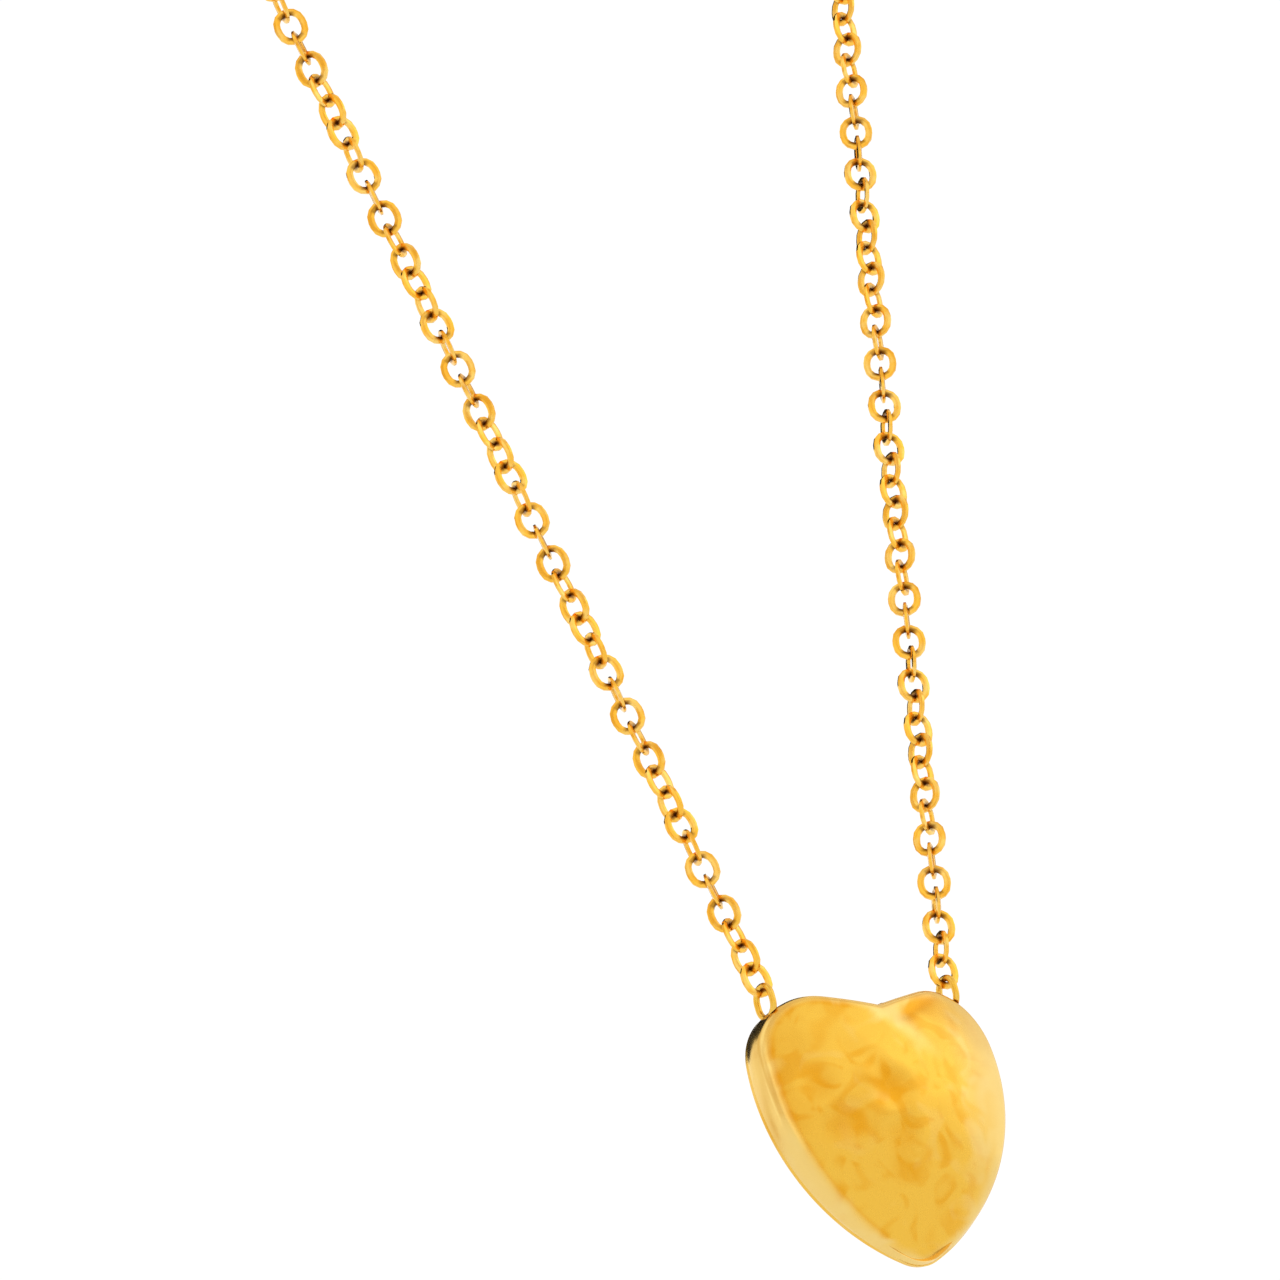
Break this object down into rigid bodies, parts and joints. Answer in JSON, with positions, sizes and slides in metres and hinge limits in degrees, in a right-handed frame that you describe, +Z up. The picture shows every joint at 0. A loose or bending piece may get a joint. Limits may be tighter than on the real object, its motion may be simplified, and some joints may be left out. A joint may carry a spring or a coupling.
{
  "type": "pendant necklace",
  "caption": "Puffed hammered heart pendant with two eyes, hung between the two ends of a fine oval-link cable chain that closes at the nape with a lobster clasp.",
  "frame": {"origin": "centre of the round neck form that the chain hangs over", "axes": "+Z up; -Y is the front of the pendant; the loop of chain lies in the XZ plane, with the pendant hanging at the bottom and the clasp at the top"},
  "size_m": [0.0773, 0.004, 0.2125],
  "materials": {
    "chain_gold": "polished gold plate",
    "hammered_gold": "softly hammered and polished gold plate",
    "plain_gold": "polished gold plate",
    "spring_steel": "drawn wire"
  },
  "bodies": {
    "neck_chain": {"neck_chain_left_top": "chain_gold", "neck_chain_left_middle": "chain_gold", "neck_chain_left_bottom": "chain_gold", "neck_chain_right_top": "chain_gold", "neck_chain_right_middle": "chain_gold", "neck_chain_right_bottom": "chain_gold", "jump_ring": "plain_gold", "clasp_body": "plain_gold", "clasp_pin": "plain_gold", "clasp_spring": "spring_steel", "end_ring": "plain_gold"},
    "upper_drop": {"upper_drop_left": "chain_gold", "upper_drop_right": "chain_gold"},
    "middle_drop": {"middle_drop_left": "chain_gold", "middle_drop_right": "chain_gold"},
    "lower_drop": {"lower_drop_left": "chain_gold", "lower_drop_right": "chain_gold"},
    "pendant": {"heart_front": "hammered_gold", "heart_back": "plain_gold", "left_eye": "plain_gold", "right_eye": "plain_gold"},
    "lever": {"clasp_lever": "plain_gold"}
  },
  "joints": [
    {"name": "upper_drop_swing", "type": "hinge", "parent": "neck_chain", "child": "upper_drop", "pos_m": [0, 0, -0.0562], "axis": [1, 0, 0], "range_deg": [-40, 40]},
    {"name": "middle_drop_swing", "type": "hinge", "parent": "upper_drop", "child": "middle_drop", "pos_m": [0, 0, -0.09063], "axis": [1, 0, 0], "range_deg": [-40, 40]},
    {"name": "lower_drop_swing", "type": "hinge", "parent": "middle_drop", "child": "lower_drop", "pos_m": [0, 0, -0.12506], "axis": [1, 0, 0], "range_deg": [-40, 40]},
    {"name": "pendant_swing", "type": "hinge", "parent": "lower_drop", "child": "pendant", "pos_m": [0, 0, -0.15965], "axis": [1, 0, 0], "range_deg": [-80, 80]},
    {"name": "clasp_trigger", "type": "hinge", "parent": "neck_chain", "child": "lever", "pos_m": [-0.0002, 0, 0.03742], "axis": [0, -1, 0], "range_deg": [0, 20], "stiffness_Nm_per_rad": 0.0005}
  ]
}
